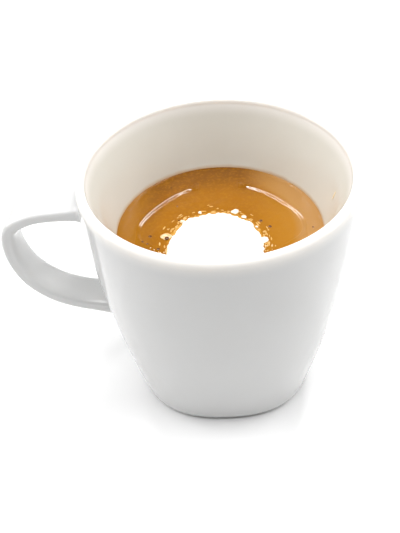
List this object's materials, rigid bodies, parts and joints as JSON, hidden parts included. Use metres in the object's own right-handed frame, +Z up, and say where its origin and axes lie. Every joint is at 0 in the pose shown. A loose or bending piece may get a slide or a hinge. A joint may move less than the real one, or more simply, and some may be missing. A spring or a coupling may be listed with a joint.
{
  "type": "cup of espresso macchiato",
  "caption": "White porcelain espresso cup with a strap handle, round at the rim and softly squared at the base, holding coffee with golden crema and a spot of milk foam.",
  "frame": {"origin": "middle of the cup's flat underside, on the cup's axis", "axes": "+Z up along the cup's axis, the handle points along -X, -Y is the side that faces the viewer"},
  "size_m": [0.0823, 0.0628, 0.062],
  "materials": {
    "porcelain": "glossy white glaze",
    "coffee": "wet golden-brown crema",
    "milk_foam": "fine white milk foam"
  },
  "bodies": {
    "root": {"cup": "porcelain", "coffee": "coffee", "milk_foam": "milk_foam"}
  },
  "joints": []
}
